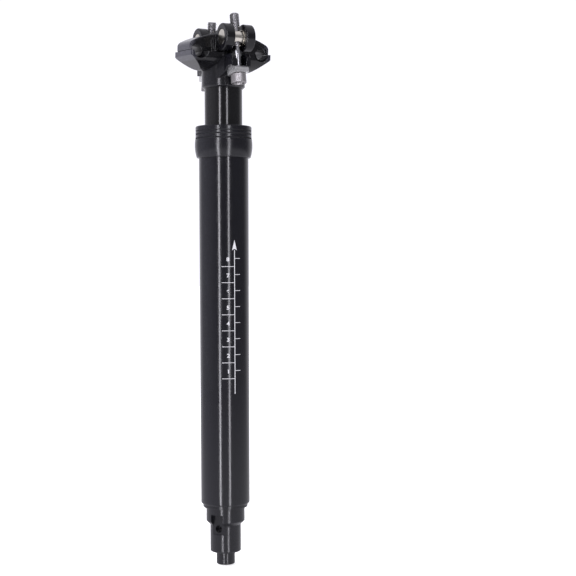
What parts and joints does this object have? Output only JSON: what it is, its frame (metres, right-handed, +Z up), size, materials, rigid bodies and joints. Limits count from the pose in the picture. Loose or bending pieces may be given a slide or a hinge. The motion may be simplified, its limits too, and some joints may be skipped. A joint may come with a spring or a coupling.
{
  "type": "dropper seatpost",
  "caption": "Telescoping bicycle seatpost with a screwed collar, a sliding stanchion, a two-bolt tilting rail clamp and a cable-worked foot.",
  "frame": {"origin": "on the post's axis at the collar's underside, where the frame's seat tube ends", "axes": "+Z up the post towards the saddle, X across the bicycle, -Y the side of the front clamp bolt"},
  "size_m": [0.0548, 0.0572, 0.3513],
  "materials": {
    "tube_black": "gloss black anodised and clear coated, with printed scale",
    "collar_black": "gloss black anodised",
    "head_black": "satin black anodised forging",
    "clamp_black": "satin black anodised forging",
    "stanchion_black": "polished black hard anodised",
    "foot_black": "gloss black anodised, turned",
    "bolt_steel": "zinc plated, rolled thread",
    "washer_steel": "bright nickel plated",
    "nut_brass": "pale nickel brass, turned",
    "bushing_polymer": "dark glide polymer",
    "seal_rubber": "soft black rubber",
    "key_brass": "milled brass",
    "cartridge_steel": "drawn steel",
    "rod_chrome": "hard chromed, ground",
    "inner_aluminium": "turned aluminium",
    "spring_steel": "music wire"
  },
  "bodies": {
    "outer": {"outer_tube": "tube_black", "collar": "collar_black", "upper_bushing": "bushing_polymer", "wiper_seal": "seal_rubber", "foot_housing": "foot_black", "foot_o_ring": "seal_rubber", "bottom_bumper": "seal_rubber", "plunger_spring": "spring_steel", "cable_anchor": "foot_black", "anchor_set_screw": "foot_black", "cartridge_tube": "cartridge_steel", "cartridge_clip": "spring_steel", "valve_block": "inner_aluminium", "valve_seal": "seal_rubber", "seal_head": "inner_aluminium", "rod_seal": "seal_rubber", "seal_head_snap_ring": "spring_steel", "topout_bumper": "seal_rubber"},
    "slider": {"stanchion": "stanchion_black", "lower_bushing": "bushing_polymer", "anti_rotation_keys": "key_brass", "head": "head_black", "half_washer_front": "washer_steel", "half_washer_rear": "washer_steel", "piston_rod": "rod_chrome", "piston": "inner_aluminium", "piston_ring": "seal_rubber"},
    "clamp": {"lower_cradle": "clamp_black", "upper_clamp": "clamp_black"},
    "nut_front": {"barrel_nut_front": "nut_brass"},
    "nut_rear": {"barrel_nut_rear": "nut_brass"},
    "bolt_front": {"clamp_bolt_front": "bolt_steel"},
    "bolt_rear": {"clamp_bolt_rear": "bolt_steel"},
    "plunger": {"cable_plunger": "foot_black"},
    "valve": {"valve_pin": "rod_chrome"}
  },
  "joints": [
    {"name": "post_slide", "type": "slide", "parent": "outer", "child": "slider", "axis": [0, 0, 1], "range_m": [0, 0.1]},
    {"name": "clamp_tilt", "type": "hinge", "parent": "slider", "child": "clamp", "pos_m": [0, 0, 0.07168], "axis": [1, 0, 0], "range_deg": [-11.6, 4.4]},
    {"name": "cable_plunger_slide", "type": "slide", "parent": "outer", "child": "plunger", "axis": [0, 0, 1], "range_m": [0, 0.0025], "stiffness_N_per_m": 1500, "springref_m": -0.003, "deforming": ["plunger_spring"]},
    {"name": "valve_pin_slide", "type": "slide", "parent": "outer", "child": "valve", "axis": [0, 0, 1], "range_m": [0, 0.0025]},
    {"name": "nut_front_swivel", "type": "hinge", "parent": "clamp", "child": "nut_front", "pos_m": [0, -0.01934, 0.07334], "axis": [1, 0, 0], "range_deg": [-4.9, 12.1]},
    {"name": "bolt_front_turn", "type": "hinge", "parent": "slider", "child": "bolt_front", "pos_m": [0, -0.0192, 0.07455], "axis": [0, 0.1478, 0.989], "continuous": true},
    {"name": "nut_rear_swivel", "type": "hinge", "parent": "clamp", "child": "nut_rear", "pos_m": [0, 0.01898, 0.07575], "axis": [1, 0, 0], "range_deg": [-4.9, 12.1]},
    {"name": "bolt_rear_turn", "type": "hinge", "parent": "slider", "child": "bolt_rear", "pos_m": [0, 0.0192, 0.07455], "axis": [0, -0.1478, 0.989], "continuous": true}
  ],
  "couplings": [
    {"joint": "nut_front_swivel", "follows": "clamp_tilt", "ratio": -1},
    {"joint": "nut_rear_swivel", "follows": "clamp_tilt", "ratio": -1},
    {"joint": "valve_pin_slide", "follows": "cable_plunger_slide", "ratio": 1}
  ]
}
